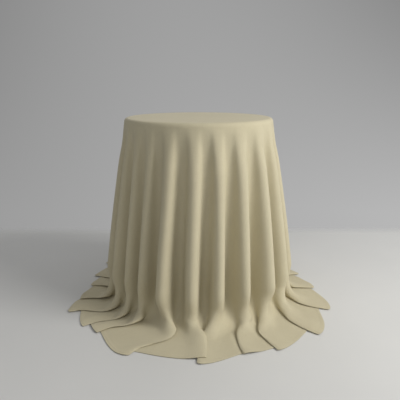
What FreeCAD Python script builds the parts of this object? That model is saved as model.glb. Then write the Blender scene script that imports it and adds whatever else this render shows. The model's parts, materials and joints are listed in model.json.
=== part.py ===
import FreeCAD, Part
import math
import os

import Sketcher
from FreeCAD import Placement, Rotation, Vector

# A small round pedestal table under a floor-length round tablecloth.
# Frame: +Z up, the floor at z = 0, the Z axis down the middle of the column. Millimetres.
#
# The table comes apart as a bumper-edged top, a cast top plate, a tube column, a cast
# four-arm base, the tie rod that clamps them together, and four screw-in glides.
# The cloth lies over it all: a flat crown, a rounded rim, a fluted skirt and a wide
# skirt of spare cloth that lies on the floor and ends in a turned hem.

doc = FreeCAD.newDocument("covered_table")
sheet = doc.addObject("Spreadsheet::Sheet", "Dimensions")

DIMENSIONS = [
    # the top
    ("table_height", 758.5, "floor to the laminate's upper face"),
    ("table_radius", 300.0, "radius over the bumper edge"),
    ("panel_thick", 24.0, "core of the top"),
    ("laminate_thick", 0.8, "sheet bonded to the core"),
    ("rib_depth", 10.0, "the bumper edge's rib, inside the panel's groove"),
    ("rib_thick", 2.4, "the same rib, top to bottom"),
    ("fit_gap", 0.05, "clearance between bonded and pressed pieces"),
    # the column and what clamps it
    ("column_radius", 38.0, "outside of the tube"),
    ("column_wall", 2.0, "wall of the tube"),
    ("column_foot", 72.0, "height of the tube's lower end"),
    ("column_head", 706.0, "height of the tube's upper end"),
    ("spigot_length", 10.0, "castings reach this far into the tube"),
    ("rod_radius", 6.0, "M12 tie rod"),
    ("rod_hole", 6.5, "clearance hole for the rod"),
    ("rod_overhang", 2.0, "rod past its nut"),
    ("nut_height", 10.0, "M12 hexagon nut"),
    ("nut_flats", 18.0, "M12 hexagon nut, across flats"),
    ("washer_radius", 12.0, "M12 washer"),
    ("washer_thick", 2.5, "M12 washer"),
    ("nut_recess", 17.0, "radius of the pockets for the nuts"),
    # the top plate
    ("plate_hub", 46.0, "radius of its hub"),
    ("plate_pocket_floor", 716.0, "height of the seat under the upper washer"),
    ("plate_thick", 6.0, "its arms"),
    ("plate_reach", 142.0, "centre of an arm's round end"),
    ("plate_root_half", 20.0, "half width of an arm at the hub"),
    ("plate_tip_half", 14.0, "half width of an arm at its end"),
    ("rib_reach", 98.0, "how far out the stiffening rib runs"),
    ("rib_height", 18.0, "the stiffening rib, at the hub"),
    # the wood screws through the plate
    ("screw_inner", 116.0, "inner screw, from the axis"),
    ("screw_outer", 142.0, "outer screw, from the axis"),
    ("screw_radius", 2.0, "shank"),
    ("screw_length", 20.0, "shank above the plate's lower face"),
    ("screw_tip", 4.0, "point"),
    ("screw_head_radius", 4.5, "pan head"),
    ("screw_head_height", 3.2, "pan head"),
    # the base
    ("hub_top", 50.0, "radius of the hub at the tube"),
    ("hub_bottom", 62.0, "radius of the hub near the floor"),
    ("hub_underside", 22.0, "height of the hub's lower face"),
    ("base_pocket_ceiling", 38.0, "height of the seat over the lower washer"),
    ("arm_root", 34.0, "where an arm starts, from the axis"),
    ("glide_circle", 235.0, "glides, from the axis"),
    ("arm_root_height", 44.0, "height of the arm's centre at the hub"),
    ("arm_tip_height", 26.0, "height of the arm's centre at the boss"),
    ("arm_root_wide", 18.0, "half width of an arm at the hub"),
    ("arm_root_deep", 20.0, "half depth of an arm at the hub"),
    ("arm_tip_wide", 14.0, "half width of an arm at the boss"),
    ("arm_tip_deep", 9.5, "half depth of an arm at the boss"),
    ("boss_radius", 20.0, "round boss at an arm's end"),
    ("boss_bottom", 15.0, "height of the boss's lower face"),
    ("boss_thick", 21.0, "height of the boss"),
    # the glides
    ("glide_hole", 5.0, "M10 tapped hole in the boss"),
    ("stem_radius", 4.95, "M10 stem"),
    ("stem_top", 40.0, "height of the stem's end"),
    ("stem_head_radius", 8.0, "plate at the stem's lower end, moulded in"),
    ("stem_head_bottom", 4.0, "height of that plate"),
    ("stem_head_thick", 3.0, "that plate"),
    ("pad_radius", 19.0, "moulded foot"),
    ("pad_top_radius", 13.0, "the same, at its top"),
    ("pad_height", 13.0, "moulded foot"),
    ("pad_edge", 2.0, "height of its straight lower rim"),
    # the cloth
    ("cloth_gap", 0.3, "air between the cloth and the table"),
    ("cloth_thick", 1.2, "crown, rim and the part on the floor"),
    ("skirt_wall", 3.0, "radial wall of the fluted skirt at the floor"),
    ("flutes", 24.0, "folds round the skirt"),
    ("ridge_flare", 0.106, "how far a ridge leans out per unit of drop"),
    ("valley_flare", 0.09, "how far a valley leans out per unit of drop"),
    ("pool_radius", 566.0, "hem on the floor, from the axis"),
    ("hem_width", 12.0, "turned hem"),
    ("hem_thick", 2.4, "turned hem"),
    ("thread_radius", 0.4, "hem stitching"),
]
for line, (alias, value, note) in enumerate(DIMENSIONS, start=1):
    sheet.set(f"A{line}", alias)
    sheet.set(f"B{line}", str(value))
    sheet.set(f"C{line}", note)
    sheet.setAlias(f"B{line}", alias)
doc.recompute()

ARMS = 4  # arms on the base and on the top plate, and glides
ARM_TURN = 45.0  # degrees from +X to the first arm
FULL_TURN = 360.0

parts = []  # (object of the document, node name), in the order they are made


def size(alias):
    """A driving dimension's number, for places and for Part's own functions."""
    return float(getattr(sheet, alias))


def cell(formula):
    """A formula on the aliases, as an expression on the sheet's cells."""
    words = formula.replace("(", " ( ").replace(")", " ) ").split()
    return " ".join(f"Dimensions.{w}" if w[0].isalpha() else w for w in words)


def keep(thing, node):
    """Labels a finished sub-part, so that it is checked and written."""
    thing.Label = node
    parts.append((thing, node))
    return thing


def new_body(node):
    return keep(doc.addObject("PartDesign::Body", node), node)


def origin_feature(body, role):
    return next(f for f in body.Origin.OriginFeatures if f.Role == role)


def new_sketch(body, name, role="XY_Plane", lift=None):
    """A sketch on one of the body's own planes, lifted along its normal by a formula."""
    sketch = body.newObject("Sketcher::SketchObject", name)
    sketch.AttachmentSupport = [(origin_feature(body, role), "")]
    sketch.MapMode = "FlatFace"
    if lift:
        sketch.setExpression("AttachmentOffset.Base.z", cell(lift))
    return sketch


def pin(sketch, geometry, end, x, y):
    """Fixes one point of a sketch at (x, y), each a formula, or 0 for on the axis."""
    for kind, axis, formula in (("DistanceX", -2, x), ("DistanceY", -1, y)):
        if formula == "0":
            sketch.addConstraint(
                Sketcher.Constraint("PointOnObject", geometry, end, axis)
            )
            continue
        place = sketch.addConstraint(
            Sketcher.Constraint(kind, -1, 1, geometry, end, evaluate(formula))
        )
        sketch.setExpression(f"Constraints[{place}]", cell(formula))


def evaluate(formula):
    """A formula's number now, to draw a sketch close to where its constraints put it."""
    return float(sheet.evalExpression(cell(formula))) if formula != "0" else 0.0


def polygon(sketch, corners):
    """A closed outline through corners, each a pair of formulas."""
    points = [Vector(evaluate(x), evaluate(y), 0) for x, y in corners]
    count = len(corners)
    for k in range(count):
        sketch.addGeometry(Part.LineSegment(points[k], points[(k + 1) % count]))
    for k in range(count):
        sketch.addConstraint(Sketcher.Constraint("Coincident", k, 2, (k + 1) % count, 1))
        pin(sketch, k, 1, *corners[k])


def circle(sketch, radius, x="0", y="0"):
    """A circle with its radius and centre given as formulas."""
    centre = Vector(evaluate(x), evaluate(y), 0)
    round_ = sketch.addGeometry(
        Part.Circle(centre, Vector(0, 0, 1), evaluate(radius))
    )
    place = sketch.addConstraint(
        Sketcher.Constraint("Radius", round_, evaluate(radius))
    )
    sketch.setExpression(f"Constraints[{place}]", cell(radius))
    if x == "0" and y == "0":
        sketch.addConstraint(Sketcher.Constraint("Coincident", round_, 3, -1, 1))
    else:
        pin(sketch, round_, 3, x, y)


def pad(body, sketch, length, both_ways=False):
    solid = body.newObject("PartDesign::Pad", sketch.Name + "_pad")
    solid.Profile = sketch
    solid.setExpression("Length", cell(length))
    solid.Midplane = both_ways
    return solid


def pocket_through(body, sketch):
    """Cuts a sketch right through the body, both ways from its plane."""
    hole = body.newObject("PartDesign::Pocket", sketch.Name + "_cut")
    hole.Profile = sketch
    hole.Type = "ThroughAll"
    hole.Midplane = True
    return hole


def revolve(body, sketch):
    solid = body.newObject("PartDesign::Revolution", sketch.Name + "_turn")
    solid.Profile = sketch
    solid.ReferenceAxis = (sketch, ["V_Axis"])
    solid.Angle = FULL_TURN
    return solid


def pattern(body, features, count=ARMS):
    """Repeats features evenly round the body's Z axis."""
    ring = body.newObject("PartDesign::PolarPattern", features[0].Name + "_ring")
    ring.Originals = features
    ring.Axis = (origin_feature(body, "Z_Axis"), [""])
    ring.Angle = FULL_TURN
    ring.Occurrences = count
    body.Tip = ring
    return ring


def turned(node, corners, name="profile"):
    """A body of revolution about Z, from an outline of (radius, height) formulas."""
    body = new_body(node)
    sketch = new_sketch(body, f"{node}_{name}", "XZ_Plane")
    polygon(sketch, corners)
    revolve(body, sketch)
    return body


def edges_at(shape, height, radius=None):
    """Names of a shape's round edges that lie flat at a height, of a radius if given."""
    found = []
    for number, edge in enumerate(shape.Edges, start=1):
        box = edge.BoundBox
        flat = abs(box.ZMin - height) < 1e-4 and abs(box.ZMax - height) < 1e-4
        round_ = isinstance(edge.Curve, Part.Circle)
        if flat and round_ and (radius is None or abs(edge.Curve.Radius - radius) < 1e-4):
            found.append(f"Edge{number}")
    return found


def dress(body, kind, names, amount):
    """A Fillet or a Chamfer on named edges of the body's tip."""
    doc.recompute()
    base = body.Tip
    feature = body.newObject(f"PartDesign::{kind}", f"{body.Name}_{kind.lower()}")
    feature.Base = (base, names)
    if kind == "Fillet":
        feature.Radius = amount
    else:
        feature.Size = amount
    return feature


# ---------------------------------------------------------------- the top
LAMINATE_BOTTOM = "table_height - laminate_thick"
PANEL_BOTTOM = "table_height - laminate_thick - panel_thick"
NOSE = "( panel_thick + laminate_thick ) / 2"
NOSE_HEIGHT = "table_height - ( panel_thick + laminate_thick ) / 2"
PANEL_RADIUS = f"table_radius - {NOSE}"


def make_panel():
    """Core of the top, with the groove for the bumper edge and the screws' pilot holes."""
    rim = f"{PANEL_RADIUS} - fit_gap"
    groove = f"{PANEL_RADIUS} - rib_depth - fit_gap"
    low = f"{NOSE_HEIGHT} - rib_thick / 2 - fit_gap"
    high = f"{NOSE_HEIGHT} + rib_thick / 2 + fit_gap"
    body = turned(
        "tabletop_panel",
        [
            ("0", PANEL_BOTTOM),
            (rim, PANEL_BOTTOM),
            (rim, low),
            (groove, low),
            (groove, high),
            (rim, high),
            (rim, f"{LAMINATE_BOTTOM} - fit_gap"),
            ("0", f"{LAMINATE_BOTTOM} - fit_gap"),
        ],
    )
    sketch = new_sketch(body, "pilot_holes", "XY_Plane", PANEL_BOTTOM)
    for place in ("screw_inner", "screw_outer"):
        circle(sketch, "screw_radius + fit_gap", place)
    holes = body.newObject("PartDesign::Pocket", "pilot_cut")
    holes.Profile = sketch
    holes.Reversed = True
    holes.setExpression("Length", cell("screw_length + screw_tip - plate_thick + 1"))
    pattern(body, [holes])
    body.Placement = Placement(Vector(), Rotation(Vector(0, 0, 1), ARM_TURN))


def make_laminate():
    body = new_body("laminate_sheet")
    sketch = new_sketch(body, "laminate_outline", "XY_Plane", LAMINATE_BOTTOM)
    circle(sketch, f"{PANEL_RADIUS} - fit_gap")
    pad(body, sketch, "laminate_thick")


def make_bumper_edge():
    """Half-round rubber edge, held by a rib in the panel's groove."""
    body = new_body("bumper_edge")
    sketch = new_sketch(body, "edge_profile", "XZ_Plane")
    inner, rib_end = PANEL_RADIUS, f"{PANEL_RADIUS} - rib_depth"
    low = f"{NOSE_HEIGHT} - rib_thick / 2"
    high = f"{NOSE_HEIGHT} + rib_thick / 2"
    corners = [
        (inner, "table_height"),
        (inner, high),
        (rib_end, high),
        (rib_end, low),
        (inner, low),
        (inner, PANEL_BOTTOM),
    ]
    points = [Vector(evaluate(x), evaluate(y), 0) for x, y in corners]
    for start, end in zip(points, points[1:]):
        sketch.addGeometry(Part.LineSegment(start, end))
    lines = len(points) - 1
    centre = Vector(evaluate(inner), evaluate(NOSE_HEIGHT), 0)
    nose = Part.Circle(centre, Vector(0, 0, 1), evaluate(NOSE))
    arc = sketch.addGeometry(Part.ArcOfCircle(nose, -math.pi / 2, math.pi / 2))
    for k in range(lines - 1):
        sketch.addConstraint(Sketcher.Constraint("Coincident", k, 2, k + 1, 1))
    sketch.addConstraint(Sketcher.Constraint("Coincident", lines - 1, 2, arc, 1))
    sketch.addConstraint(Sketcher.Constraint("Coincident", arc, 2, 0, 1))
    for k in range(lines):
        pin(sketch, k, 1, *corners[k])
    pin(sketch, lines - 1, 2, *corners[-1])
    sketch.addConstraint(Sketcher.Constraint("Vertical", arc, 3, arc, 1))
    revolve(body, sketch)


# ---------------------------------------------------------------- column and clamp
def make_column():
    body = new_body("column_tube")
    sketch = new_sketch(body, "tube_section", "XY_Plane", "column_foot")
    circle(sketch, "column_radius")
    circle(sketch, "column_radius - column_wall")
    pad(body, sketch, "column_head - column_foot")


def make_tie_rod():
    """M12 rod that pulls the top plate and the base together on the tube."""
    body = new_body("tie_rod")
    bottom = "base_pocket_ceiling - washer_thick - nut_height - rod_overhang"
    top = "plate_pocket_floor + washer_thick + nut_height + rod_overhang"
    sketch = new_sketch(body, "rod_section", "XY_Plane", bottom)
    circle(sketch, "rod_radius")
    rod = pad(body, sketch, f"{top} - ( {bottom} )")
    doc.recompute()
    ends = edges_at(rod.Shape, evaluate(bottom)) + edges_at(rod.Shape, evaluate(top))
    dress(body, "Chamfer", ends, 1.0)


def make_washer(node, bottom):
    body = new_body(node)
    sketch = new_sketch(body, f"{node}_ring", "XY_Plane", bottom)
    circle(sketch, "washer_radius")
    circle(sketch, "rod_radius + fit_gap")
    pad(body, sketch, "washer_thick")


def make_nut(node, bottom):
    """Hexagon nut: its six flats are cut from a chamfered round blank."""
    body = turned(
        node,
        [
            ("rod_radius + fit_gap", bottom),
            ("nut_flats / 2", bottom),
            ("nut_flats * 0.577", f"{bottom} + 1"),
            ("nut_flats * 0.577", f"{bottom} + nut_height - 1"),
            ("nut_flats / 2", f"{bottom} + nut_height"),
            ("rod_radius + fit_gap", f"{bottom} + nut_height"),
        ],
    )
    sketch = new_sketch(body, f"{node}_flat", "XY_Plane", bottom)
    polygon(
        sketch,
        [
            ("nut_flats / 2", "0 - nut_flats"),
            ("nut_flats", "0 - nut_flats"),
            ("nut_flats", "nut_flats"),
            ("nut_flats / 2", "nut_flats"),
        ],
    )
    flat = pocket_through(body, sketch)
    pattern(body, [flat], 6)


# ---------------------------------------------------------------- the top plate
def make_top_plate():
    """Four-armed casting: a hub with a spigot in the tube, flat arms and ribs under them."""
    body = turned(
        "top_plate",
        [
            ("rod_hole", "column_head - spigot_length"),
            ("column_radius - column_wall - fit_gap", "column_head - spigot_length"),
            ("column_radius - column_wall - fit_gap", "column_head"),
            ("plate_hub - 4", "column_head"),
            ("plate_hub", "column_head + 4"),
            ("plate_hub", PANEL_BOTTOM),
            ("nut_recess", PANEL_BOTTOM),
            ("nut_recess", "plate_pocket_floor"),
            ("rod_hole", "plate_pocket_floor"),
        ],
        "hub",
    )
    start = "plate_hub - 12"
    arm_sketch = new_sketch(body, "plate_arm", "XY_Plane", f"{PANEL_BOTTOM} - plate_thick")
    polygon(
        arm_sketch,
        [
            (start, "0 - plate_root_half"),
            ("plate_reach", "0 - plate_tip_half"),
            ("plate_reach", "plate_tip_half"),
            (start, "plate_root_half"),
        ],
    )
    arm = pad(body, arm_sketch, "plate_thick")
    end_sketch = new_sketch(body, "plate_end", "XY_Plane", f"{PANEL_BOTTOM} - plate_thick")
    circle(end_sketch, "plate_tip_half", "plate_reach")
    end = pad(body, end_sketch, "plate_thick")
    rib_sketch = new_sketch(body, "plate_rib", "XZ_Plane")
    underside = f"{PANEL_BOTTOM} - plate_thick"
    polygon(
        rib_sketch,
        [
            (start, f"{underside} - rib_height + 2"),
            ("plate_hub", f"{underside} - rib_height + 2"),
            ("rib_reach", underside),
            ("rib_reach", f"{underside} + 1"),
            (start, f"{underside} + 1"),
        ],
    )
    rib = pad(body, rib_sketch, "plate_thick", both_ways=True)
    hole_sketch = new_sketch(body, "plate_holes", "XY_Plane", PANEL_BOTTOM)
    for place in ("screw_inner", "screw_outer"):
        circle(hole_sketch, "screw_radius + 0.4", place)
    holes = pocket_through(body, hole_sketch)
    pattern(body, [arm, end, rib, holes])
    body.Placement = Placement(Vector(), Rotation(Vector(0, 0, 1), ARM_TURN))


def make_screws():
    """Pan-head wood screws, two to an arm, as one group of separate solids."""
    underside = evaluate(f"{PANEL_BOTTOM} - plate_thick")
    head = doc.addObject("Part::Cylinder", "screw_head")
    head.setExpression("Radius", cell("screw_head_radius"))
    head.setExpression("Height", cell("screw_head_height"))
    head.Placement.Base = Vector(0, 0, -size("screw_head_height"))
    shank = doc.addObject("Part::Cylinder", "screw_shank")
    shank.setExpression("Radius", cell("screw_radius"))
    shank.setExpression("Height", cell("screw_length"))
    tip = doc.addObject("Part::Cone", "screw_tip_cone")
    tip.setExpression("Radius1", cell("screw_radius"))
    tip.Radius2 = 0.3
    tip.setExpression("Height", cell("screw_tip"))
    tip.Placement.Base = Vector(0, 0, size("screw_length"))
    doc.recompute()
    round_head = doc.addObject("Part::Fillet", "screw_pan")
    round_head.Base = head
    lower = edges_at(head.Shape, -size("screw_head_height"))
    round_head.Edges = [(int(name[4:]), 1.6, 1.6) for name in lower]
    slot = doc.addObject("Part::Box", "screw_slot")
    slot.Length = 5.6
    slot.Width = 1.1
    slot.Height = 1.8
    slot.Placement.Base = Vector(-2.8, -0.55, -size("screw_head_height") - 0.2)
    whole = doc.addObject("Part::MultiFuse", "screw_whole")
    whole.Shapes = [round_head, shank, tip]
    screw = doc.addObject("Part::Cut", "screw")
    screw.Base = whole
    screw.Tool = slot
    doc.recompute()
    solids = []
    for arm in range(ARMS):
        turn = Rotation(Vector(0, 0, 1), ARM_TURN + arm * FULL_TURN / ARMS)
        for place in ("screw_inner", "screw_outer"):
            copy = screw.Shape.Solids[0].copy()
            spot = turn.multVec(Vector(size(place), 0, underside))
            copy.Placement = Placement(spot, turn)
            solids.append(copy)
    group = doc.addObject("Part::Feature", "plate_screws")
    group.Shape = Part.makeCompound(solids)
    keep(group, "plate_screws")


# ---------------------------------------------------------------- the base
def make_base():
    """Cast four-arm base: a flared hub, oval arms that fall away from it, tapped bosses."""
    body = turned(
        "pedestal_base",
        [
            ("rod_hole", "base_pocket_ceiling"),
            ("nut_recess", "base_pocket_ceiling"),
            ("nut_recess", "hub_underside"),
            ("hub_bottom - 6", "hub_underside"),
            ("hub_bottom", "hub_underside + 8"),
            ("hub_bottom - 3", "hub_underside + 26"),
            ("hub_top", "column_foot - 4"),
            ("hub_top - 4", "column_foot"),
            ("column_radius - column_wall - fit_gap", "column_foot"),
            (
                "column_radius - column_wall - fit_gap",
                "column_foot + spigot_length - 2",
            ),
            ("column_radius - column_wall - 3", "column_foot + spigot_length"),
            ("rod_hole", "column_foot + spigot_length"),
        ],
        "hub",
    )
    sections = []
    for name, out, up, wide, deep in (
        ("arm_root_oval", "arm_root", "arm_root_height", "arm_root_wide", "arm_root_deep"),
        ("arm_tip_oval", "glide_circle", "arm_tip_height", "arm_tip_wide", "arm_tip_deep"),
    ):
        sketch = new_sketch(body, name, "YZ_Plane", out)
        oval(sketch, wide, deep, up)
        sections.append(sketch)
    arm = body.newObject("PartDesign::AdditiveLoft", "base_arm")
    arm.Profile = sections[0]
    arm.Sections = [sections[1]]
    arm.Ruled = True
    boss_sketch = new_sketch(body, "boss_outline", "XY_Plane", "boss_bottom")
    circle(boss_sketch, "boss_radius", "glide_circle")
    boss = pad(body, boss_sketch, "boss_thick")
    hole_sketch = new_sketch(body, "glide_holes", "XY_Plane", "boss_bottom")
    circle(hole_sketch, "glide_hole", "glide_circle")
    hole = pocket_through(body, hole_sketch)
    pattern(body, [arm, boss, hole])
    doc.recompute()
    top = evaluate("boss_bottom + boss_thick")
    rims = edges_at(body.Tip.Shape, top, size("boss_radius"))
    dress(body, "Fillet", rims, 4.0)
    body.Placement = Placement(Vector(), Rotation(Vector(0, 0, 1), ARM_TURN))


def oval(sketch, wide, deep, height):
    """An upright ellipse centred over the sketch's vertical axis."""
    centre = Vector(0, evaluate(height), 0)
    across, up = evaluate(wide), evaluate(deep)
    if across >= up:
        major, minor, turned_ends = Vector(across, 0, 0), Vector(0, up, 0), (wide, deep)
    else:
        major, minor, turned_ends = Vector(0, up, 0), Vector(across, 0, 0), (deep, wide)
    ring = sketch.addGeometry(Part.Ellipse(centre + major, centre + minor, centre))
    sketch.exposeInternalGeometry(ring)
    pin(sketch, ring, 3, "0", height)
    axes = (ring + 1, ring + 2)
    for axis, formula in zip(axes, turned_ends):
        place = sketch.addConstraint(
            Sketcher.Constraint("Distance", axis, 1, axis, 2, 2 * evaluate(formula))
        )
        sketch.setExpression(f"Constraints[{place}]", cell(f"2 * ( {formula} )"))
    flat = "Horizontal" if across >= up else "Vertical"
    sketch.addConstraint(Sketcher.Constraint(flat, axes[0]))


# ---------------------------------------------------------------- the glides
def make_glide(number):
    """One screw-in glide: an M10 steel stem with a plate at its end, and the moulded foot."""
    turn = Rotation(Vector(0, 0, 1), ARM_TURN + (number - 1) * FULL_TURN / ARMS)
    place = Placement(turn.multVec(Vector(size("glide_circle"), 0, 0)), turn)
    plate_top = "stem_head_bottom + stem_head_thick"
    stem = turned(
        f"glide_stem_{number}",
        [
            ("0", "stem_head_bottom"),
            ("stem_head_radius", "stem_head_bottom"),
            ("stem_head_radius", plate_top),
            ("stem_radius", plate_top),
            ("stem_radius", "stem_top - 1"),
            ("stem_radius - 1", "stem_top"),
            ("0", "stem_top"),
        ],
    )
    stem.Placement = place
    foot = turned(
        f"glide_foot_{number}",
        [
            ("0", "0"),
            ("pad_radius - 1", "0"),
            ("pad_radius", "1"),
            ("pad_radius", "pad_edge + 1"),
            ("pad_top_radius", "pad_height"),
            ("stem_radius + fit_gap", "pad_height"),
            ("stem_radius + fit_gap", f"{plate_top} + fit_gap"),
            ("stem_head_radius + fit_gap", f"{plate_top} + fit_gap"),
            ("stem_head_radius + fit_gap", "stem_head_bottom - fit_gap"),
            ("0", "stem_head_bottom - fit_gap"),
        ],
    )
    foot.Placement = place


# ---------------------------------------------------------------- the cloth
COLLAR = 4.0  # the crown's collar runs down to where the flutes begin
STEP = 0.3  # the skirt starts this much wider than the collar, so that they fuse cleanly
BELOW = 20.0  # the tool that hollows the skirt runs this far under the floor


def polar(radius, angle, height):
    return Vector(radius * math.cos(angle), radius * math.sin(angle), height)


def fluted_ring(height, inside):
    """The skirt's closed outline at a height, outside or inside: a round wave of flutes."""
    start = evaluate(NOSE_HEIGHT) - COLLAR
    drop = start - height
    outside = size("table_radius") + size("cloth_gap") + size("cloth_thick") + STEP
    ridge = outside + size("ridge_flare") * drop
    valley = outside + size("valley_flare") * drop
    inset = 0.0
    if inside:
        thick = size("cloth_thick")
        inset = thick + (size("skirt_wall") - thick) * drop / start
    count = 2 * int(size("flutes"))
    half = 2 * math.pi / count
    reach = half / 3  # a smooth wave's handles, as a share of the radius
    edges = []
    for k in range(count):
        radii = (ridge - inset, valley - inset)
        near, far = (radii if k % 2 == 0 else radii[::-1])
        first, last = k * half, (k + 1) * half
        begin, end = polar(near, first, height), polar(far, last, height)
        ahead = polar(near * reach, first + math.pi / 2, 0)
        back = polar(far * reach, last + math.pi / 2, 0)
        curve = Part.BezierCurve()
        curve.setPoles([begin, begin + ahead, end - back, end])
        edges.append(curve.toShape())
    return Part.Wire(edges)


def make_crown():
    """Flat top of the cloth, the bend over the bumper edge and a short collar under it."""
    centre_x, centre_z = evaluate(PANEL_RADIUS), evaluate(NOSE_HEIGHT)
    near = evaluate(NOSE) + size("cloth_gap")
    far = near + size("cloth_thick")
    foot = centre_z - 1.5 * COLLAR

    def on_arc(radius, degrees):
        turn = math.radians(degrees)
        return Vector(
            centre_x + radius * math.cos(turn), 0, centre_z + radius * math.sin(turn)
        )

    axis_low, axis_high = Vector(0, 0, centre_z + near), Vector(0, 0, centre_z + far)
    foot_in, foot_out = Vector(centre_x + near, 0, foot), Vector(centre_x + far, 0, foot)
    outline = [
        Part.makeLine(axis_low, on_arc(near, 90)),
        Part.Arc(on_arc(near, 90), on_arc(near, 45), on_arc(near, 0)).toShape(),
        Part.makeLine(on_arc(near, 0), foot_in),
        Part.makeLine(foot_in, foot_out),
        Part.makeLine(foot_out, on_arc(far, 0)),
        Part.Arc(on_arc(far, 0), on_arc(far, 45), on_arc(far, 90)).toShape(),
        Part.makeLine(on_arc(far, 90), axis_high),
        Part.makeLine(axis_high, axis_low),
    ]
    face = Part.Face(Part.Wire(outline))
    return face.revolve(Vector(), Vector(0, 0, 1), FULL_TURN)


def make_tablecloth():
    """One closed sheet: crown, rim, fluted skirt, the cloth on the floor and its hem."""
    start = evaluate(NOSE_HEIGHT) - COLLAR
    radius, hem = size("pool_radius"), size("hem_thick")
    outer = Part.makeLoft([fluted_ring(start, False), fluted_ring(0, False)], True, True)
    inner = Part.makeLoft([fluted_ring(start, True), fluted_ring(-BELOW, True)], True, True)
    pool = Part.makeCylinder(radius, size("cloth_thick"))
    turned_hem = Part.makeCylinder(radius, hem).cut(
        Part.makeCylinder(radius - size("hem_width"), hem)
    )
    skirt = outer.fuse([pool, turned_hem]).cut(inner)
    cloth = doc.addObject("Part::Feature", "tablecloth")
    cloth.Shape = skirt.fuse(make_crown()).removeSplitter().Solids[0]
    keep(cloth, "tablecloth")


def make_hem_thread():
    """The row of stitching that holds the turned hem, as one fine ring lying on it."""
    thread = doc.addObject("Part::Torus", "hem_thread")
    thread.setExpression("Radius1", cell("pool_radius - hem_width + 2"))
    thread.setExpression("Radius2", cell("thread_radius"))
    thread.Placement.Base = Vector(0, 0, size("hem_thick") + size("thread_radius"))
    keep(thread, "hem_thread")


def check_and_write():
    """Stops on anything failed or empty, then writes each sub-part to parts/NODE.step."""
    doc.recompute()
    for thing in doc.Objects:
        if {"Invalid", "Error"} & set(thing.State):
            raise RuntimeError(f"{thing.Label} failed: {thing.State}")
    os.makedirs("parts", exist_ok=True)
    for thing, node in parts:
        shape = thing.Shape
        if shape.isNull() or not shape.isValid() or shape.Volume <= 0:
            raise RuntimeError(f"{node} has no valid solid")
        shape.exportStep(f"parts/{node}.step")
        box = shape.BoundBox
        print(
            f"{node}: {len(shape.Solids)} solid(s), {shape.Volume / 1000:.2f} cm3, "
            f"z {box.ZMin:.2f} to {box.ZMax:.2f}, x {box.XMin:.1f} to {box.XMax:.1f}"
        )


make_panel()
make_laminate()
make_bumper_edge()
make_top_plate()
make_screws()
make_column()
make_tie_rod()
make_washer("upper_washer", "plate_pocket_floor")
make_nut("upper_nut", "plate_pocket_floor + washer_thick")
make_washer("lower_washer", "base_pocket_ceiling - washer_thick")
make_nut("lower_nut", "base_pocket_ceiling - washer_thick - nut_height")
make_base()
for glide in range(1, ARMS + 1):
    make_glide(glide)
make_tablecloth()
make_hem_thread()
check_and_write()
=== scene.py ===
"""A floor-length round tablecloth over a small pedestal table.

The table's own pieces come from the frame and get their finishes here. The cloth is
laid out as a round cut gathered into flutes, left to settle on the table and the floor
under its own weight, and finished with a turned and stitched hem.
"""

import json
import math

import bpy
import numpy as np
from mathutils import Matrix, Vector

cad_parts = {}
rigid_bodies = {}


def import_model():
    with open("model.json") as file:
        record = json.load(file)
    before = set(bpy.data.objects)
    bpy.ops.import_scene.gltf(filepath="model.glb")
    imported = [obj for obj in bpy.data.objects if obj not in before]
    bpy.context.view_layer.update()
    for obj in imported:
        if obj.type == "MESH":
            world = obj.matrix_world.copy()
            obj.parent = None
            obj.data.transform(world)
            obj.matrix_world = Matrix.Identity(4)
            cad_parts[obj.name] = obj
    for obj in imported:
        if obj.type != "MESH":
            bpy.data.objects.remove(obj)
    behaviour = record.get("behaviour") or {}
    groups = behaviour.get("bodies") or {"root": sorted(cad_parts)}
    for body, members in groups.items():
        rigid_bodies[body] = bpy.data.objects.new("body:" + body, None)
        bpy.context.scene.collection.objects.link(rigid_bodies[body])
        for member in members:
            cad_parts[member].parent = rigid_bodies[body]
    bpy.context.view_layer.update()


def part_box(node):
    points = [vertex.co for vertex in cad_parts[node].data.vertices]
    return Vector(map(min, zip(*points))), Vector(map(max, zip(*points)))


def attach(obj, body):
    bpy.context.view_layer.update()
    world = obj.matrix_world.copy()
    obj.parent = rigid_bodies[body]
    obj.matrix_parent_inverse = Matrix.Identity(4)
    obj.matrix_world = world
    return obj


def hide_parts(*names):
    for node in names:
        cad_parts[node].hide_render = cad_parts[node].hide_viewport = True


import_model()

# ---------------------------------------------------------------- sizes, in metres
CUT_RADIUS = 1.22  # the cloth is cut as a disc of this radius
CLOTH_THICK = 0.0010
HEM_WIDTH = 0.012
HEM_THICK = 0.0020
STITCH_INSET = 0.0095  # stitches, from the hem's edge
STITCH_LENGTH = 0.0035
THREAD_RADIUS = 0.0004
WEAVE_PITCH = 0.0011  # two yarns of the cloth

edge_low, edge_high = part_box("bumper_edge")
TABLE_RADIUS = (edge_high[0] - edge_low[0]) / 2
TABLE_TOP = edge_high[2]
TABLE_EDGE = edge_low[2]

GLIDES = 4

AIR = 0.0020  # air kept between the settling cloth and what it lies on
CROWN_HEIGHT = TABLE_TOP + 0.0009  # middle of the cloth on the table's top
SKIRT_RADIUS = TABLE_RADIUS + 0.0038  # middle of the cloth at the table's edge
RIM_BEND = 0.0155
QUARTER = math.pi / 2
CROWN_END = SKIRT_RADIUS - RIM_BEND  # radius where the flat crown starts to bend
RIM_END = CROWN_END + RIM_BEND * QUARTER  # radius in the flat cut where it hangs
FLOOR_START = RIM_END + CROWN_HEIGHT - RIM_BEND  # and where it meets the floor

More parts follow.
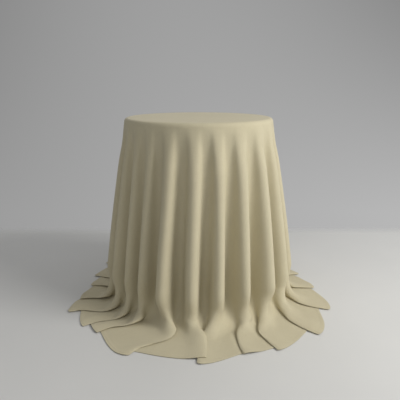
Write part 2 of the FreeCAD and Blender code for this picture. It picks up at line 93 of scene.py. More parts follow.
TUCK = 0.013  # the valleys draw in by this much under the table's edge
TUCK_DROP = 0.12  # over this drop
FLARE = 0.034  # and lean out by this much for each metre of drop
FULLNESS = 0.70  # share of the spare cloth that goes into the flutes
GATHERED_WAY = 0.16  # the ridges stand out fully this far down from the table's edge
KNEE = 0.05  # how tightly a ridge bends at the floor
KNEE_VARIES = 0.2
VALLEY_KNEE = 0.13  # a valley is pulled tight, so it bends over a longer way
LAID_WAY = 0.06  # a foot lies flat this far past where the floor starts
FOLD = 0.034  # height of a foot's fold before it settles
FOLD_VARIES = 0.08
FOOT_WAY = 0.18  # a foot has its full swing and reach this far past a ridge's knee
REST = 0.006  # how high over the floor the cloth starts

SLANT = 3.0  # degrees that every flute slants over a drop of SLANT_DROP
SLANT_DROP = 0.8
SLANT_START = 0.3  # the slant sets in softly over this way from the crown
SLANT_VARIES = 1.5  # degrees

COLUMNS_PER_FLUTE = 12
HELD_RINGS = 2  # the innermost rings lie still on the table's top
GRIP_END = 0.10  # the skirt is held in its flutes down to this height
GRIP_FADE = 0.30  # and fully held this much higher
DRUM_SINKS = 0.0026  # the form under the settling cloth leaves room for the air
DRUM_INSET = 0.0005
DRUM_ROUNDING = 0.012
SETTLING_FRAMES = 45

# Every flute: its ridge hangs at an angle in degrees from the front, counted towards +X.
# Then how full it is, how many degrees its foot swings round, how far more its foot
# reaches, and how far more the valley after it reaches.
FLUTES = [
    (-63.5, 1.00, -11.5, 0.012, 0.000),
    (-49.0, 0.90, -8.0, 0.000, 0.000),
    (-37.0, 0.80, -12.5, -0.020, 0.000),
    (-21.0, 1.10, -17.0, 0.028, 0.035),
    (-3.0, 0.55, 0.0, 0.000, 0.030),
    (13.0, 0.85, -1.0, 0.028, 0.025),
    (28.0, 0.50, -3.0, -0.005, 0.035),
    (48.0, 0.95, -3.0, 0.012, 0.025),
    (65.0, 0.85, -5.0, 0.030, 0.000),
    (85.0, 0.95, -3.0, 0.000, -0.030),
    (102.0, 1.05, 0.0, -0.055, -0.060),
    (118.0, 0.90, 0.0, -0.070, -0.060),
    (134.0, 1.10, 2.0, -0.025, -0.020),
    (150.0, 1.00, 3.0, 0.010, 0.015),
    (166.0, 0.60, 2.0, 0.015, 0.020),
    (182.0, 1.05, -1.0, 0.030, 0.000),
    (198.0, 0.90, -2.0, 0.020, 0.000),
    (214.0, 1.10, 0.0, 0.010, -0.010),
    (230.0, 0.80, 2.0, -0.025, -0.030),
    (247.0, 1.10, 0.0, -0.060, -0.060),
    (263.0, 0.95, -3.0, -0.080, -0.060),
    (280.0, 1.00, -5.0, -0.055, -0.030),
]

shuffle = np.random.default_rng(5)


# ---------------------------------------------------------------- finishes
class Level:
    """A number that varies over a surface. Arithmetic on it adds Math nodes."""

    def __init__(self, nodes, socket):
        self.nodes = nodes
        self.socket = socket

    def math(self, operation, *terms):
        return self.nodes.node("ShaderNodeMath", {"operation": operation}, terms)

    def __add__(self, other):
        return self.math("ADD", self, other)

    def __sub__(self, other):
        return self.math("SUBTRACT", self, other)

    def __rsub__(self, other):
        return self.math("SUBTRACT", other, self)

    def __mul__(self, other):
        return self.math("MULTIPLY", self, other)

    __radd__ = __add__
    __rmul__ = __mul__

    def sine(self):
        return self.math("SINE", self)

    def clamp(self):
        return self.math("MINIMUM", self.math("MAXIMUM", self, 0.0), 1.0)

    def steep(self, middle, width):
        """0 well below middle and 1 well above it, with a ramp of a width between."""
        return ((self - middle) * (1 / width) + 0.5).clamp()


class Nodes:
    """The nodes of a material or of the world."""

    def __init__(self, tree):
        self.tree = tree

    def node(self, kind, settings=None, inputs=(), output=0):
        """Adds a node: its settings first, then its sockets' values or links."""
        made = self.tree.nodes.new(kind)
        for setting, value in (settings or {}).items():
            setattr(made, setting, value)
        named = inputs.items() if isinstance(inputs, dict) else enumerate(inputs)
        for place, value in named:
            if isinstance(value, Level):
                self.tree.links.new(value.socket, made.inputs[place])
            else:
                made.inputs[place].default_value = value
        return Level(self, made.outputs[output])

    def parts(self, vector):
        """The X, Y and Z of a vector."""
        split = self.node("ShaderNodeSeparateXYZ", inputs={"Vector": vector}).socket.node
        return [Level(self, output) for output in split.outputs]


class Finish(Nodes):
    """A material under construction round one Principled shader."""

    def __init__(self, name, **fixed):
        self.material = bpy.data.materials.new(name)
        self.material.use_nodes = True
        super().__init__(self.material.node_tree)
        self.shader = self.tree.nodes["Principled BSDF"]
        for words, value in fixed.items():
            self.feed(words.replace("_", " ").title(), value)

    def feed(self, name, value):
        socket = self.shader.inputs[name]
        if isinstance(value, Level):
            self.tree.links.new(value.socket, socket)
        else:
            socket.default_value = value

    def place(self):
        return self.node("ShaderNodeTexCoord", output="Object")

    def stretched(self, place, scale):
        """The place, scaled, for a pattern that is longer one way."""
        inputs = {"Vector": place, "Scale": scale}
        return self.node("ShaderNodeMapping", inputs=inputs)

    def noise(self, place, scale, detail=2.0, roughness=0.5):
        inputs = {"Vector": place, "Scale": scale, "Detail": detail, "Roughness": roughness}
        return self.node("ShaderNodeTexNoise", inputs=inputs)

    def blend(self, share, first, second):
        """A colour between two, by a share from 0 to 1."""
        settings = {"data_type": "RGBA"}
        inputs = {0: share, 6: first, 7: second}
        return self.node("ShaderNodeMix", settings, inputs, output=2)

    def bump(self, height, depth, strength=1.0):
        inputs = {"Height": height, "Distance": depth, "Strength": strength}
        self.feed("Normal", self.node("ShaderNodeBump", inputs=inputs))


def woven_cloth():
    """Plain-woven cotton: slubby yarns both ways, a soft mottle and a fine weave."""
    finish = Finish("woven_cloth", sheen_weight=0.12, sheen_roughness=0.5)
    finish.feed("Specular IOR Level", 0.25)
    cut = finish.node("ShaderNodeUVMap", {"uv_map": "cut"})
    warp = finish.noise(finish.stretched(cut, (900.0, 22.0, 1.0)), 1.0, 3.0, 0.6)
    weft = finish.noise(finish.stretched(cut, (22.0, 900.0, 1.0)), 1.0, 3.0, 0.6)
    mottle = finish.noise(cut, 6.0, 4.0, 0.6)
    slub = (warp + weft) * 0.5
    tone = (slub.steep(0.5, 0.5) * 0.7 + mottle.steep(0.5, 0.7) * 0.3).clamp()
    dark, light = (0.470, 0.420, 0.285, 1.0), (0.600, 0.548, 0.392, 1.0)
    finish.feed("Base Color", finish.blend(tone, dark, light))
    finish.feed("Roughness", 0.95 - slub * 0.15)
    along, across, _ = finish.parts(cut)
    waves = 2 * math.pi / WEAVE_PITCH
    weave = (along * waves).sine() * (across * waves).sine()
    finish.bump(weave * 0.35 + slub, 0.00035, 0.6)
    return finish.material


def sewing_thread():
    """Spun polyester thread, a shade lighter than the cloth, with its twist."""
    finish = Finish("sewing_thread", roughness=0.6, sheen_weight=0.2)
    twist = finish.noise(finish.place(), 900.0, 2.0)
    dark, light = (0.42, 0.38, 0.27, 1.0), (0.62, 0.57, 0.43, 1.0)
    finish.feed("Base Color", finish.blend(twist.steep(0.5, 0.4), dark, light))
    finish.bump(twist, 0.0001, 0.5)
    return finish.material


def walnut_laminate():
    """Printed wood-grain laminate with a satin, lightly pored face."""
    finish = Finish("walnut_laminate", coat_roughness=0.25)
    place = finish.place()
    warp = finish.noise(place, 3.0, 3.0) * 0.5
    grain_place = finish.stretched(place, (1.2, 34.0, 1.0))
    grain = finish.noise(grain_place, 1.0, 6.0, 0.65)
    figure = (grain * 9.0 + warp * 14.0).sine() * 0.5 + 0.5
    pores = finish.noise(finish.stretched(place, (40.0, 900.0, 1.0)), 1.0, 2.0)
    tone = (figure * 0.55 + grain * 0.45).clamp()
    dark, light = (0.060, 0.030, 0.016, 1.0), (0.190, 0.105, 0.055, 1.0)
    finish.feed("Base Color", finish.blend(tone, dark, light))
    finish.feed("Roughness", 0.36 + pores * 0.16)
    finish.feed("Coat Weight", 0.35 - pores * 0.2)
    finish.bump(pores, 0.0001, 0.5)
    return finish.material


def pressed_wood():
    """Raw particle board: pressed flakes in mixed tones, with small voids painted dark as
    shade.
    """
    finish = Finish("pressed_wood")
    place = finish.place()
    flake_place = finish.stretched(place, (1.0, 1.0, 2.5))
    settings = {"feature": "F1"}
    inputs = {"Vector": flake_place, "Scale": 420.0, "Randomness": 1.0}
    flake = finish.node("ShaderNodeTexVoronoi", settings, inputs, output="Color")
    flake_tone = finish.node("ShaderNodeRGBToBW", inputs=[flake])
    fibre = finish.noise(finish.stretched(place, (60.0, 500.0, 300.0)), 1.0, 4.0)
    shaded_voids = finish.noise(place, 260.0, 2.0).steep(0.66, 0.06)
    tone = (flake_tone * 0.6 + fibre * 0.4).clamp()
    board = finish.blend(tone, (0.30, 0.19, 0.09, 1.0), (0.62, 0.45, 0.26, 1.0))
    # the voids get a near-black brown: painted shade inside the pits
    finish.feed("Base Color", finish.blend(shaded_voids, board, (0.10, 0.06, 0.03, 1.0)))
    finish.feed("Roughness", 0.75 + fibre * 0.2)
    finish.bump(flake_tone * 0.4 + fibre * 0.3 - shaded_voids, 0.0006, 0.8)
    return finish.material


def bumper_moulding():
    """Matt black flexible moulding with a leather-like grain and pale scuffs."""
    finish = Finish("bumper_moulding")
    place = finish.place()
    inputs = {"Vector": place, "Scale": 900.0}
    cells = finish.node(
        "ShaderNodeTexVoronoi", {"feature": "DISTANCE_TO_EDGE"}, inputs, output="Distance"
    )
    scuffs = finish.noise(finish.stretched(place, (30.0, 30.0, 160.0)), 1.0, 4.0)
    worn = scuffs.steep(0.68, 0.12)
    dark, pale = (0.014, 0.014, 0.014, 1.0), (0.055, 0.053, 0.050, 1.0)
    finish.feed("Base Color", finish.blend(worn, dark, pale))
    finish.feed("Roughness", 0.5 + worn * 0.3)
    finish.bump(cells.steep(0.12, 0.2), 0.0001, 0.5)
    return finish.material


def powder_coat(name, grain, depth, gloss):
    """Black powder coat: its orange-peel texture, and dust in the hollows."""
    finish = Finish(name)
    place = finish.place()
    peel = finish.noise(place, grain, 3.0, 0.55)
    dust = finish.noise(place, 9.0, 5.0, 0.6).steep(0.58, 0.3)
    black, dusty = (0.018, 0.018, 0.019, 1.0), (0.060, 0.057, 0.052, 1.0)
    finish.feed("Base Color", finish.blend(dust * 0.6, black, dusty))
    finish.feed("Roughness", 1.0 - gloss + peel * 0.12 + dust * 0.12)
    finish.bump(peel, depth, 0.7)
    return finish.material


def zinc_plate():
    """Bright zinc on drawn steel: fine die lines and a patchy bloom."""
    finish = Finish("zinc_plate")
    place = finish.place()
    bloom = finish.noise(place, 120.0, 4.0, 0.6)
    drawn = finish.noise(finish.stretched(place, (2500.0, 2500.0, 60.0)), 1.0, 2.0)
    pale, blue = (0.66, 0.67, 0.66, 1.0), (0.52, 0.55, 0.60, 1.0)
    finish.feed("Base Color", finish.blend(bloom.steep(0.5, 0.4), pale, blue))
    finish.feed("Metallic", 1.0 - bloom.steep(0.72, 0.1) * 0.4)
    finish.feed("Roughness", 0.24 + bloom * 0.2 + drawn * 0.08)
    finish.bump(drawn, 0.00005, 0.4)
    return finish.material


def moulded_nylon():
    """Black moulded nylon with a spark-eroded texture and rubbed edges."""
    finish = Finish("moulded_nylon")
    place = finish.place()
    spark = finish.noise(place, 1600.0, 2.0)
    rubbed = finish.noise(place, 90.0, 4.0).steep(0.62, 0.15)
    black, grey = (0.020, 0.020, 0.021, 1.0), (0.085, 0.082, 0.078, 1.0)
    finish.feed("Base Color", finish.blend(rubbed, black, grey))
    finish.feed("Roughness", 0.45 + spark * 0.15 + rubbed * 0.15)
    finish.bump(spark, 0.00008, 0.5)
    return finish.material


def finish_table():
    """Gives every piece of the table its finish."""
    castings = powder_coat("castings_powder_coat", 700.0, 0.0004, 0.42)
    tube = powder_coat("tube_powder_coat", 1300.0, 0.00008, 0.62)
    zinc, nylon = zinc_plate(), moulded_nylon()
    finishes = {
        "laminate_sheet": walnut_laminate(),
        "tabletop_panel": pressed_wood(),
        "bumper_edge": bumper_moulding(),
        "top_plate": castings,
        "pedestal_base": castings,
        "column_tube": tube,
    }
    for node in ("plate_screws", "tie_rod"):
        finishes[node] = zinc
    for end in ("upper", "lower"):
        finishes[f"{end}_nut"] = finishes[f"{end}_washer"] = zinc
    for glide in range(1, GLIDES + 1):
        finishes[f"glide_stem_{glide}"] = zinc
        finishes[f"glide_foot_{glide}"] = nylon
    for node, material in finishes.items():
        slots = bpy.data.objects[node].material_slots
        for slot in slots:
            slot.material = material
        if not slots:
            bpy.data.objects[node].data.materials.append(material)


# ---------------------------------------------------------------- laying out the cloth
ROUNDED = 0.6  # how rounded a ridge is, from 0, a plain wave
TURN = np.linspace(0.0, 1.0, 241)  # from one valley over the ridge to the next
CREST = 0.5 - 0.5 * np.cos(2 * math.pi * TURN)
ACROSS = TURN + ROUNDED * np.sin(4 * math.pi * TURN) / (4 * math.pi)
RIDGE_SPAN = (0.3, 0.7)  # the ridge's part of a flute's width
COLUMNS = np.arange(COLUMNS_PER_FLUTE) / COLUMNS_PER_FLUTE
GUESSES = np.linspace(0.0, 1.0, 61)[:, None]


def eased(share):
    """From 0 to 1, with a soft start and a soft end."""
    share = min(max(share, 0.0), 1.0)
    return share * share * (3 - 2 * share)


def steps(width, rise, shift):
    """Lengths of the small steps across a flute that rises, and that leans over sideways."""
    across = np.diff(ACROSS) * width + shift * np.diff(CREST)
    return np.hypot(across, rise * np.diff(CREST))


def fitted(target, most, measure):
    """What gives a flute its length, between nothing and most."""
    lengths = measure(GUESSES * most).sum(axis=1)
    return float(np.interp(target, lengths, GUESSES[:, 0] * most))


def hanging(walked):
    """Radius and height of a valley, for the way walked from the edge of the crown."""
    if walked < RIM_BEND * QUARTER:
        bend = walked / RIM_BEND
        radius = CROWN_END + RIM_BEND * math.sin(bend)
        return radius, CROWN_HEIGHT - RIM_BEND * (1 - math.cos(bend))
    fallen = walked - RIM_BEND * QUARTER
    radius = SKIRT_RADIUS - TUCK * eased(fallen / TUCK_DROP) + FLARE * fallen
    return radius, CROWN_HEIGHT - RIM_BEND - fallen


class Flute:
    """One flute of the skirt, with the foot that it makes on the floor."""

    def __init__(self, valleys, row, drifts, swings, reaches):
        ridge, fullness = row[:2]
        self.reaches = reaches
        self.left = valleys[0]
        self.width = math.radians(valleys[1] - valleys[0])
        self.drifts, self.swings = drifts, swings
        self.fullness = FULLNESS * fullness
        # The flutes differ less from one another where they hang than on the floor.
        self.gathered = FULLNESS * (0.75 + 0.35 * fullness)
        self.side = math.copysign(1.0, -math.sin(math.radians(ridge)))  # leans to the front
        self.knee = KNEE * (1 + KNEE_VARIES * shuffle.uniform(-1, 1))
        self.fold = FOLD * (1 + FOLD_VARIES * shuffle.uniform(-1, 1))

    def height_of_ridge(self, ring, radius):
        """How far the ridge stands out from the valleys where the cloth hangs."""
        fullness = self.gathered * eased((ring - SKIRT_RADIUS) / GATHERED_WAY)
        tall = 0.0
        for _ in range(8):
            middle = radius + 0.5 * tall
            target = (middle + max(0.0, ring - middle) * fullness) * self.width
            across = middle * self.width
            tall = fitted(target, 3 * across, lambda rise: steps(across, rise, 0.0))
        return tall

    def ring(self, ring):
        """Points of one ring of the cut, from the left valley up to the right one."""
        walked = ring - CROWN_END
        if walked <= 0:
            return self.turned(COLUMNS, ring, np.full_like(COLUMNS, CROWN_HEIGHT))
        hung = min(ring, FLOOR_START - VALLEY_KNEE)
        radius = hanging(hung - CROWN_END)[0]
        tall = self.height_of_ridge(hung, radius)
        laid = eased((ring - FLOOR_START + VALLEY_KNEE) / (VALLEY_KNEE + LAID_WAY))
        past = max(0.0, ring - FLOOR_START + self.knee)
        tall *= 1 - 0.5 * laid
        bent = self.knee * (1 - math.cos(min(past / self.knee, QUARTER)))
        middle = radius + 0.5 * tall + bent + max(0.0, past - self.knee * QUARTER)
        across, shift = middle * self.width, 0.0
        rise = math.hypot(tall, self.fold * laid)
        if laid > 0:
            target = (middle + max(0.0, ring - middle) * self.fullness) * self.width
            shift = fitted(target, 2 * across, lambda lean: steps(across, rise, lean))
            shift *= laid * self.side
        along = np.concatenate([[0.0], np.cumsum(steps(across, rise, shift))])
        turn = np.interp(COLUMNS * along[-1], along, TURN)
        crest, place = np.interp(turn, TURN, CREST), np.interp(turn, TURN, ACROSS)
        knee = VALLEY_KNEE * (1 - crest) + self.knee * crest
        floor = REST + self.fold * crest
        way = np.maximum(ring - FLOOR_START + knee + floor, 0.0)
        bend = np.minimum(way / knee, QUARTER)
        out = knee * (1 - np.cos(bend)) + np.maximum(way - knee * QUARTER, 0.0)
        height = np.where(way > 0, floor + knee * (1 - np.sin(bend)), hanging(walked)[1])
        foot = eased(past / FOOT_WAY)
        reach = self.reach(place, crest) * foot
        drift = self.drifts[0] * (1 - place) + self.drifts[1] * place - SLANT
        slant = drift * (walked / SLANT_DROP - 0.5) * eased(walked / SLANT_START)
        swing = np.interp(place, [0.0, 0.5, 1.0], self.swings) * foot
        place = place + (shift * crest / middle + np.radians(slant + swing)) / self.width
        return self.turned(place, radius + crest * tall + out + reach, height)

    def reach(self, place, crest):
        """How far more the cloth reaches out on the floor."""
        valley_before, ridge, valley_after = self.reaches
        valley = np.interp(place, RIDGE_SPAN, [valley_before, valley_after])
        return crest * ridge + (1 - crest) * valley

    def turned(self, place, radius, height):
        angle = math.radians(self.left - 90) + place * self.width
        return np.stack([radius * np.cos(angle), radius * np.sin(angle), height], axis=1)


def make_flutes():
    """The flutes side by side, which share their valleys' places, slants and swings."""
    ridges = np.array([row[0] for row in FLUTES])
    swings = np.array([row[2] for row in FLUTES])
    after = np.append(ridges[1:], ridges[0] + 360)
    valleys = (ridges + after) / 2
    valleys = np.append(valleys[-1] - 360, valleys)
    between = (swings + np.roll(swings, 1)) / 2
    between = np.append(between, between[0])
    drifts = SLANT_VARIES * shuffle.uniform(-1, 1, len(FLUTES) + 1)
    drifts[-1] = drifts[0]
    flutes = []
    for k, row in enumerate(FLUTES):
        swung = (between[k], swings[k], between[k + 1])
        reaches = (FLUTES[k - 1][4], row[3], row[4])
        flutes.append(Flute(valleys[k : k + 2], row, drifts[k : k + 2], swung, reaches))
    return flutes


def cut_rings():
    """Radii in the flat cut of the rings of points: close on the rim and on the floor."""
    rim = [0.26, 0.275, 0.286, 0.2935, 0.301, 0.3085, 0.318]
    hanging_start, sweeping_start = 0.335, 0.89
    hanging_rings = np.linspace(hanging_start, sweeping_start, 16, endpoint=False)
    lying_rings = np.linspace(sweeping_start, CUT_RADIUS, 24)
    return np.concatenate([rim, hanging_rings, lying_rings])


def lay_out():
    """Points of the gathered cloth, a row for each ring of the cut, and their places in it."""
    rings = cut_rings()
    flutes = make_flutes()
    points, cut = [], []
    for ring in rings:
        points.append(np.concatenate([flute.ring(ring) for flute in flutes]))
        flat = [flute.turned(COLUMNS, ring, COLUMNS)[:, :2] for flute in flutes]
        cut.append(np.concatenate(flat))
    return rings, np.array(points), np.array(cut)


# ---------------------------------------------------------------- letting it settle
def ring_faces(rows, columns):
    """Quads between rows of points that close round, facing up on the crown."""
    faces = []
    for row in range(rows - 1):
        near, far = row * columns, (row + 1) * columns
        for k in range(columns):
            after = (k + 1) % columns
            faces.append((near + k, far + k, far + after, near + after))
    return faces


def add_mesh(name, points, faces):
    mesh = bpy.data.meshes.new(name)
    mesh.from_pydata([tuple(p) for p in points], [], faces)
    made = bpy.data.objects.new(name, mesh)
    bpy.context.scene.collection.objects.link(made)
    return made


def select_only(thing):
    for other in bpy.context.scene.objects:
        other.select_set(False)
    bpy.context.view_layer.objects.active = thing
    thing.select_set(True)


def obstacle(made, friction):
    made.modifiers.new("in_the_way", "COLLISION")
    made.collision.thickness_outer = AIR
    made.collision.cloth_friction = friction
    made.collision.damping = 0.1
    return made


def table_form():
    """A plain drum for the cloth to hang on: the table's top, less room for the air."""
    bottom, top = TABLE_EDGE, TABLE_TOP - DRUM_SINKS
    radius = TABLE_RADIUS - DRUM_INSET
    centre = (0.0, 0.0, (bottom + top) / 2)
    bpy.ops.object.select_all(action="DESELECT")
    bpy.ops.mesh.primitive_cylinder_add(
        vertices=192, radius=radius, depth=top - bottom, location=centre
    )
    drum = bpy.context.object
    rounding = drum.modifiers.new("rounding", "BEVEL")
    rounding.width = DRUM_ROUNDING
    rounding.segments = 6
    bpy.ops.object.modifier_apply(modifier="rounding")
    return obstacle(drum, 5.0)


def floor_form():
    bpy.ops.object.select_all(action="DESELECT")
    bpy.ops.mesh.primitive_plane_add(size=6.0)
    return obstacle(bpy.context.object, 15.0)


def settle(rings, points):
    """Lets the gathered cloth down on the table and the floor, and returns its points.

    A soft grip keeps the top of the skirt in its flutes, less and less further down.
    """
    rows, columns = points.shape[:2]
    cloth = add_mesh("settling_cloth", points.reshape(-1, 3), ring_faces(rows, columns))
    held = cloth.vertex_groups.new(name="held")
    for row, ring in enumerate(rings):
        height = hanging(max(ring - CROWN_END, 0.0))[1]
        grip = 1.0 if row < HELD_RINGS else eased((height - GRIP_END) / GRIP_FADE)
        held.add(list(range(row * columns, (row + 1) * columns)), grip, "REPLACE")
    forms = [table_form(), floor_form()]
    drape = cloth.modifiers.new("drape", "CLOTH")
    fabric = drape.settings
    fabric.quality = 6
    fabric.mass = 0.3
    fabric.tension_stiffness = fabric.compression_stiffness = 15
    fabric.shear_stiffness = 5
    fabric.bending_model = "ANGULAR"
    fabric.bending_stiffness = 4
    fabric.tension_damping = fabric.compression_damping = fabric.shear_damping = 5
    fabric.bending_damping = 1
    fabric.air_damping = 4
    fabric.vertex_group_mass = "held"
    touch = drape.collision_settings
    touch.distance_min = AIR
    touch.collision_quality = 3
    touch.use_self_collision = True
    touch.self_distance_min = 0.0016
    touch.self_impulse_clamp = 0.5
    touch.self_friction = 5
    scene = bpy.context.scene
    scene.frame_start = drape.point_cache.frame_start = 1
    scene.frame_end = drape.point_cache.frame_end = SETTLING_FRAMES
    for number in range(1, SETTLING_FRAMES + 1):
        scene.frame_set(number)
    select_only(cloth)
    bpy.ops.object.modifier_apply(modifier="drape")
    rest = np.zeros(rows * columns * 3)
    cloth.data.vertices.foreach_get("co", rest)
    for spent in (cloth, *forms):
        bpy.data.objects.remove(spent, do_unlink=True)
    scene.frame_set(1)
    return rest.reshape(rows, columns, 3)


# ---------------------------------------------------------------- making it up
def smoother(grid, closed):
    """Twice the rows, on the smooth surface that the rows control."""
    if closed:
        before, after = np.roll(grid, 1, 0), np.roll(grid, -1, 0)
        kept = (before + 6 * grid + after) / 8
        between = (grid + after) / 2
        return np.stack([kept, between], 1).reshape(-1, *grid.shape[1:])
    kept = grid.copy()
    kept[1:-1] = (grid[:-2] + 6 * grid[1:-1] + grid[2:]) / 8
    between = (grid[:-1] + grid[1:]) / 2
    woven = np.zeros((2 * len(grid) - 1, *grid.shape[1:]))
    woven[::2], woven[1::2] = kept, between
    return woven


def refine(grid):
    """Twice the rows and twice the columns, which close round."""
    grid = smoother(grid, closed=False)
    return smoother(grid.swapaxes(0, 1), closed=True).swapaxes(0, 1)


def with_row(grid, rings, ring):
    """The grid with one more row, where the cut has a given radius."""
    place = int(np.searchsorted(rings, ring))
    share = (ring - rings[place - 1]) / (rings[place] - rings[place - 1])
    row = grid[place - 1] * (1 - share) + grid[place] * share
    return np.insert(grid, place, row, axis=0), np.insert(rings, place, ring)


def press_down(points):
    """Lets the layers on the floor down on one another, without changing their order."""
    settled, lying = [0.0016, 0.02, 0.07], [HEM_THICK / 2, 0.012, 0.07]
    low = points[..., 2] < settled[-1]
    points[low, 2] = np.interp(points[low, 2], settled, lying)
    return points


def close_crown(grid):
    """Adds two small rings in the middle of the crown, inside the first ring."""
    inner = []
    for share in (0.25, 0.6):
        ring = grid[0] * share
        ring[:, 2] = grid[0, :, 2]
        inner.append(ring)
    return np.concatenate([np.array(inner), grid])


def make_cloth():
    """The tablecloth: crown, rim, flutes, the spare cloth on the floor and the turned hem."""
    rings, points, cut = lay_out()
    points = settle(rings, points)
    points = press_down(points)
    grid = refine(np.concatenate([points, cut], axis=2))  # place in space, then in the cut
    rings = smoother(rings, closed=False)
    grid, rings = with_row(grid, rings, CUT_RADIUS - HEM_WIDTH)
    line = stitch_line(grid, rings)
    grid = close_crown(grid)
    rows, columns = grid.shape[:2]
    single_rows = rows - (len(rings) - int(np.searchsorted(rings, CUT_RADIUS - HEM_WIDTH)))
    hem_start = single_rows * columns
    flat = grid.reshape(-1, 5)
    middle = len(flat)
    flat = np.concatenate([flat, [[0.0, 0.0, flat[0, 2], 0.0, 0.0]]])
    faces = ring_faces(rows, columns)
    faces += [(k, (k + 1) % columns, middle) for k in range(columns)]
    cloth = add_mesh("draped_tablecloth", flat[:, :3], faces)
    unwrap = cloth.data.uv_layers.new(name="cut")
    corner = np.zeros(len(cloth.data.loops), int)
    cloth.data.loops.foreach_get("vertex_index", corner)
    unwrap.data.foreach_set("uv", flat[corner, 3:].ravel())
    doubled = cloth.vertex_groups.new(name="doubled")
    doubled.add(list(range(hem_start, middle)), 1.0, "REPLACE")
    single = [*range(hem_start), middle]
    doubled.add(single, CLOTH_THICK / HEM_THICK, "REPLACE")
    select_only(cloth)
    body = cloth.modifiers.new("thickness", "SOLIDIFY")
    body.thickness = HEM_THICK
    body.offset = 0.0
    body.vertex_group = "doubled"
    bpy.ops.object.modifier_apply(modifier="thickness")
    bpy.ops.object.shade_smooth_by_angle(angle=math.radians(60))
    cloth.data.materials.append(woven_cloth())
    return cloth, line


def stitch_line(grid, rings):
    """Points and outward directions along the hem's row of stitches."""
    grid, rings = with_row(grid[..., :3], rings, CUT_RADIUS - STITCH_INSET)
    row = int(np.searchsorted(rings, CUT_RADIUS - STITCH_INSET))
    line = grid[row]
    along = np.roll(line, -1, axis=0) - np.roll(line, 1, axis=0)
    outward = np.cross(grid[row + 1] - grid[row - 1], along)
    outward /= np.linalg.norm(outward, axis=1)[:, None]
    return line, outward


def make_hem_stitches(line, outward):
    """Lockstitches round the hem: each lies on the cloth and dips into it at both ends."""
    ends = np.concatenate([line, line[:1]])
    facing = np.concatenate([outward, outward[:1]])
    walked = np.concatenate([[0.0], np.cumsum(np.linalg.norm(np.diff(ends, axis=0), axis=1))])
    count = 2 * int(walked[-1] / STITCH_LENGTH)
    places = np.arange(count) * walked[-1] / count
    path = np.stack([np.interp(places, walked, ends[:, axis]) for axis in range(3)], axis=1)
    face = np.stack([np.interp(places, walked, facing[:, axis]) for axis in range(3)], axis=1)
    proud, sunk = 0.6 * THREAD_RADIUS, -2 * THREAD_RADIUS
    lift = np.where(np.arange(count) % 2, proud, sunk)
    path += face * (HEM_THICK / 2 + lift)[:, None]
    curve = bpy.data.curves.new("hem_stitches", "CURVE")
    curve.dimensions = "3D"
    curve.bevel_depth = THREAD_RADIUS
    curve.bevel_resolution = 0
    curve.resolution_u = 1
    run = curve.splines.new("POLY")
    run.points.add(count - 1)
    run.points.foreach_set("co", np.column_stack([path, np.ones(count)]).ravel())
    run.use_cyclic_u = True
    stitches = bpy.data.objects.new("hem_stitches", curve)
    bpy.context.scene.collection.objects.link(stitches)
    select_only(stitches)
    bpy.ops.object.convert(target="MESH")
    stitches = bpy.context.object
    stitches.data.materials.clear()
    stitches.data.materials.append(sewing_thread())
    bpy.ops.object.shade_smooth()
    return stitches


# ---------------------------------------------------------------- floor, light, camera
def make_floor():
    """A plain pale floor that fades out behind the object."""
    bpy.ops.object.select_all(action="DESELECT")
    bpy.ops.mesh.primitive_plane_add(size=1.0)
    floor = bpy.context.object
    floor.name = "floor"
    back, reach = 0.90, 40.0
    fade_middle, fade_width = 0.82, 0.12
    bpy.ops.object.mode_set(mode="EDIT")
    bpy.ops.transform.resize(value=(2 * reach, reach + back, 1.0))
    bpy.ops.transform.translate(value=(0.0, (back - reach) / 2, 0.0))
    bpy.ops.object.mode_set(mode="OBJECT")
    finish = Finish("pale_floor", roughness=0.7)
    place = finish.place()
    mottle = finish.noise(place, 2.0, 4.0)
    dull, pale = (0.60, 0.60, 0.59, 1.0), (0.66, 0.66, 0.65, 1.0)
    finish.feed("Base Color", finish.blend(mottle, dull, pale))
    _, depth, _ = finish.parts(place)
    finish.feed("Alpha", 1 - depth.steep(fade_middle, fade_width))
    floor.data.materials.append(finish.material)


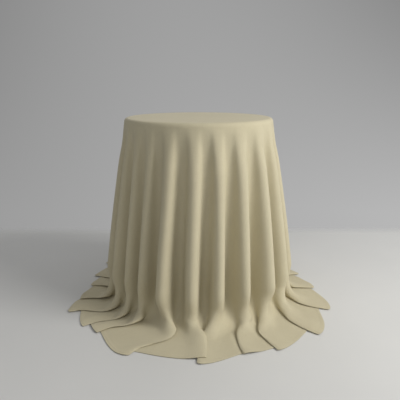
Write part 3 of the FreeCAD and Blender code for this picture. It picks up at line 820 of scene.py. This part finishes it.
def make_world():
    """A grey studio wall all round, with painted light and shade: lighter away from the
    horizon and to the right, darker at the horizon's sides.
    """
    world = bpy.data.worlds.new("studio_wall")
    world.use_nodes = True
    bpy.context.scene.world = world
    wall = Nodes(world.node_tree)
    direction = wall.node("ShaderNodeTexCoord", output="Generated")
    side, _, up = wall.parts(direction)
    widest = 0.4
    side = side.math("MAXIMUM", side, -widest)
    side = side.math("MINIMUM", side, widest)
    horizon = 0.16
    away = up - horizon
    lit = (away.math("ABSOLUTE", away) * 2.4).clamp()
    # painted light and shade on the wall: lighter to the right and away from the horizon,
    # darker at the horizon's sides
    plain, rightward, overall, dimmed = 0.345, 0.17, 0.06, 0.6
    shade = plain + lit * side * rightward + lit * overall - side * side * (1 - lit) * dimmed
    grey = wall.node("ShaderNodeCombineXYZ", inputs=[shade, shade, shade])
    background = wall.tree.nodes["Background"]
    wall.tree.links.new(grey.socket, background.inputs["Color"])


def soft_light(name, place, target, size, power, colour=(1.0, 1.0, 1.0)):
    lamp = bpy.data.lights.new(name, "AREA")
    lamp.shape = "DISK"
    lamp.size = size
    lamp.energy = power
    lamp.color = colour
    made = bpy.data.objects.new(name, lamp)
    bpy.context.scene.collection.objects.link(made)
    made.location = place
    aim = Vector(target) - Vector(place)
    made.rotation_euler = aim.to_track_quat("-Z", "Y").to_euler()


def make_camera():
    """In front of the table and a little above its top, looking slightly down."""
    looking_down = 0.252
    lens = bpy.data.cameras.new("camera")
    lens.sensor_width = 36.0
    lens.lens = 41.4
    lens.shift_x = 0.00325
    made = bpy.data.objects.new("camera", lens)
    bpy.context.scene.collection.objects.link(made)
    made.location = (0.0, -1.92, 0.90)
    made.rotation_euler = (QUARTER - looking_down, 0.0, 0.0)
    bpy.context.scene.camera = made


finish_table()
cloth, hem_line = make_cloth()
stitches = make_hem_stitches(*hem_line)
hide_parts("tablecloth")
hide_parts("hem_thread")
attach(cloth, "cloth")
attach(stitches, "cloth")

make_floor()
make_world()
soft_light(
    "key_light",
    place=(2.65, -1.3, 2.2),
    target=(0.0, 0.0, 0.4),
    size=1.8,
    power=89.0,
    colour=(1.0, 0.988, 0.96),
)
soft_light(
    "front_fill", place=(-0.6, -3.4, 1.8), target=(0.0, 0.0, 0.35), size=2.4, power=8.0
)
soft_light(
    "rear_fill", place=(-0.8, 3.2, 2.2), target=(0.0, 0.0, 0.5), size=2.0, power=7.0
)
make_camera()
bpy.context.scene.view_settings.view_transform = "Standard"
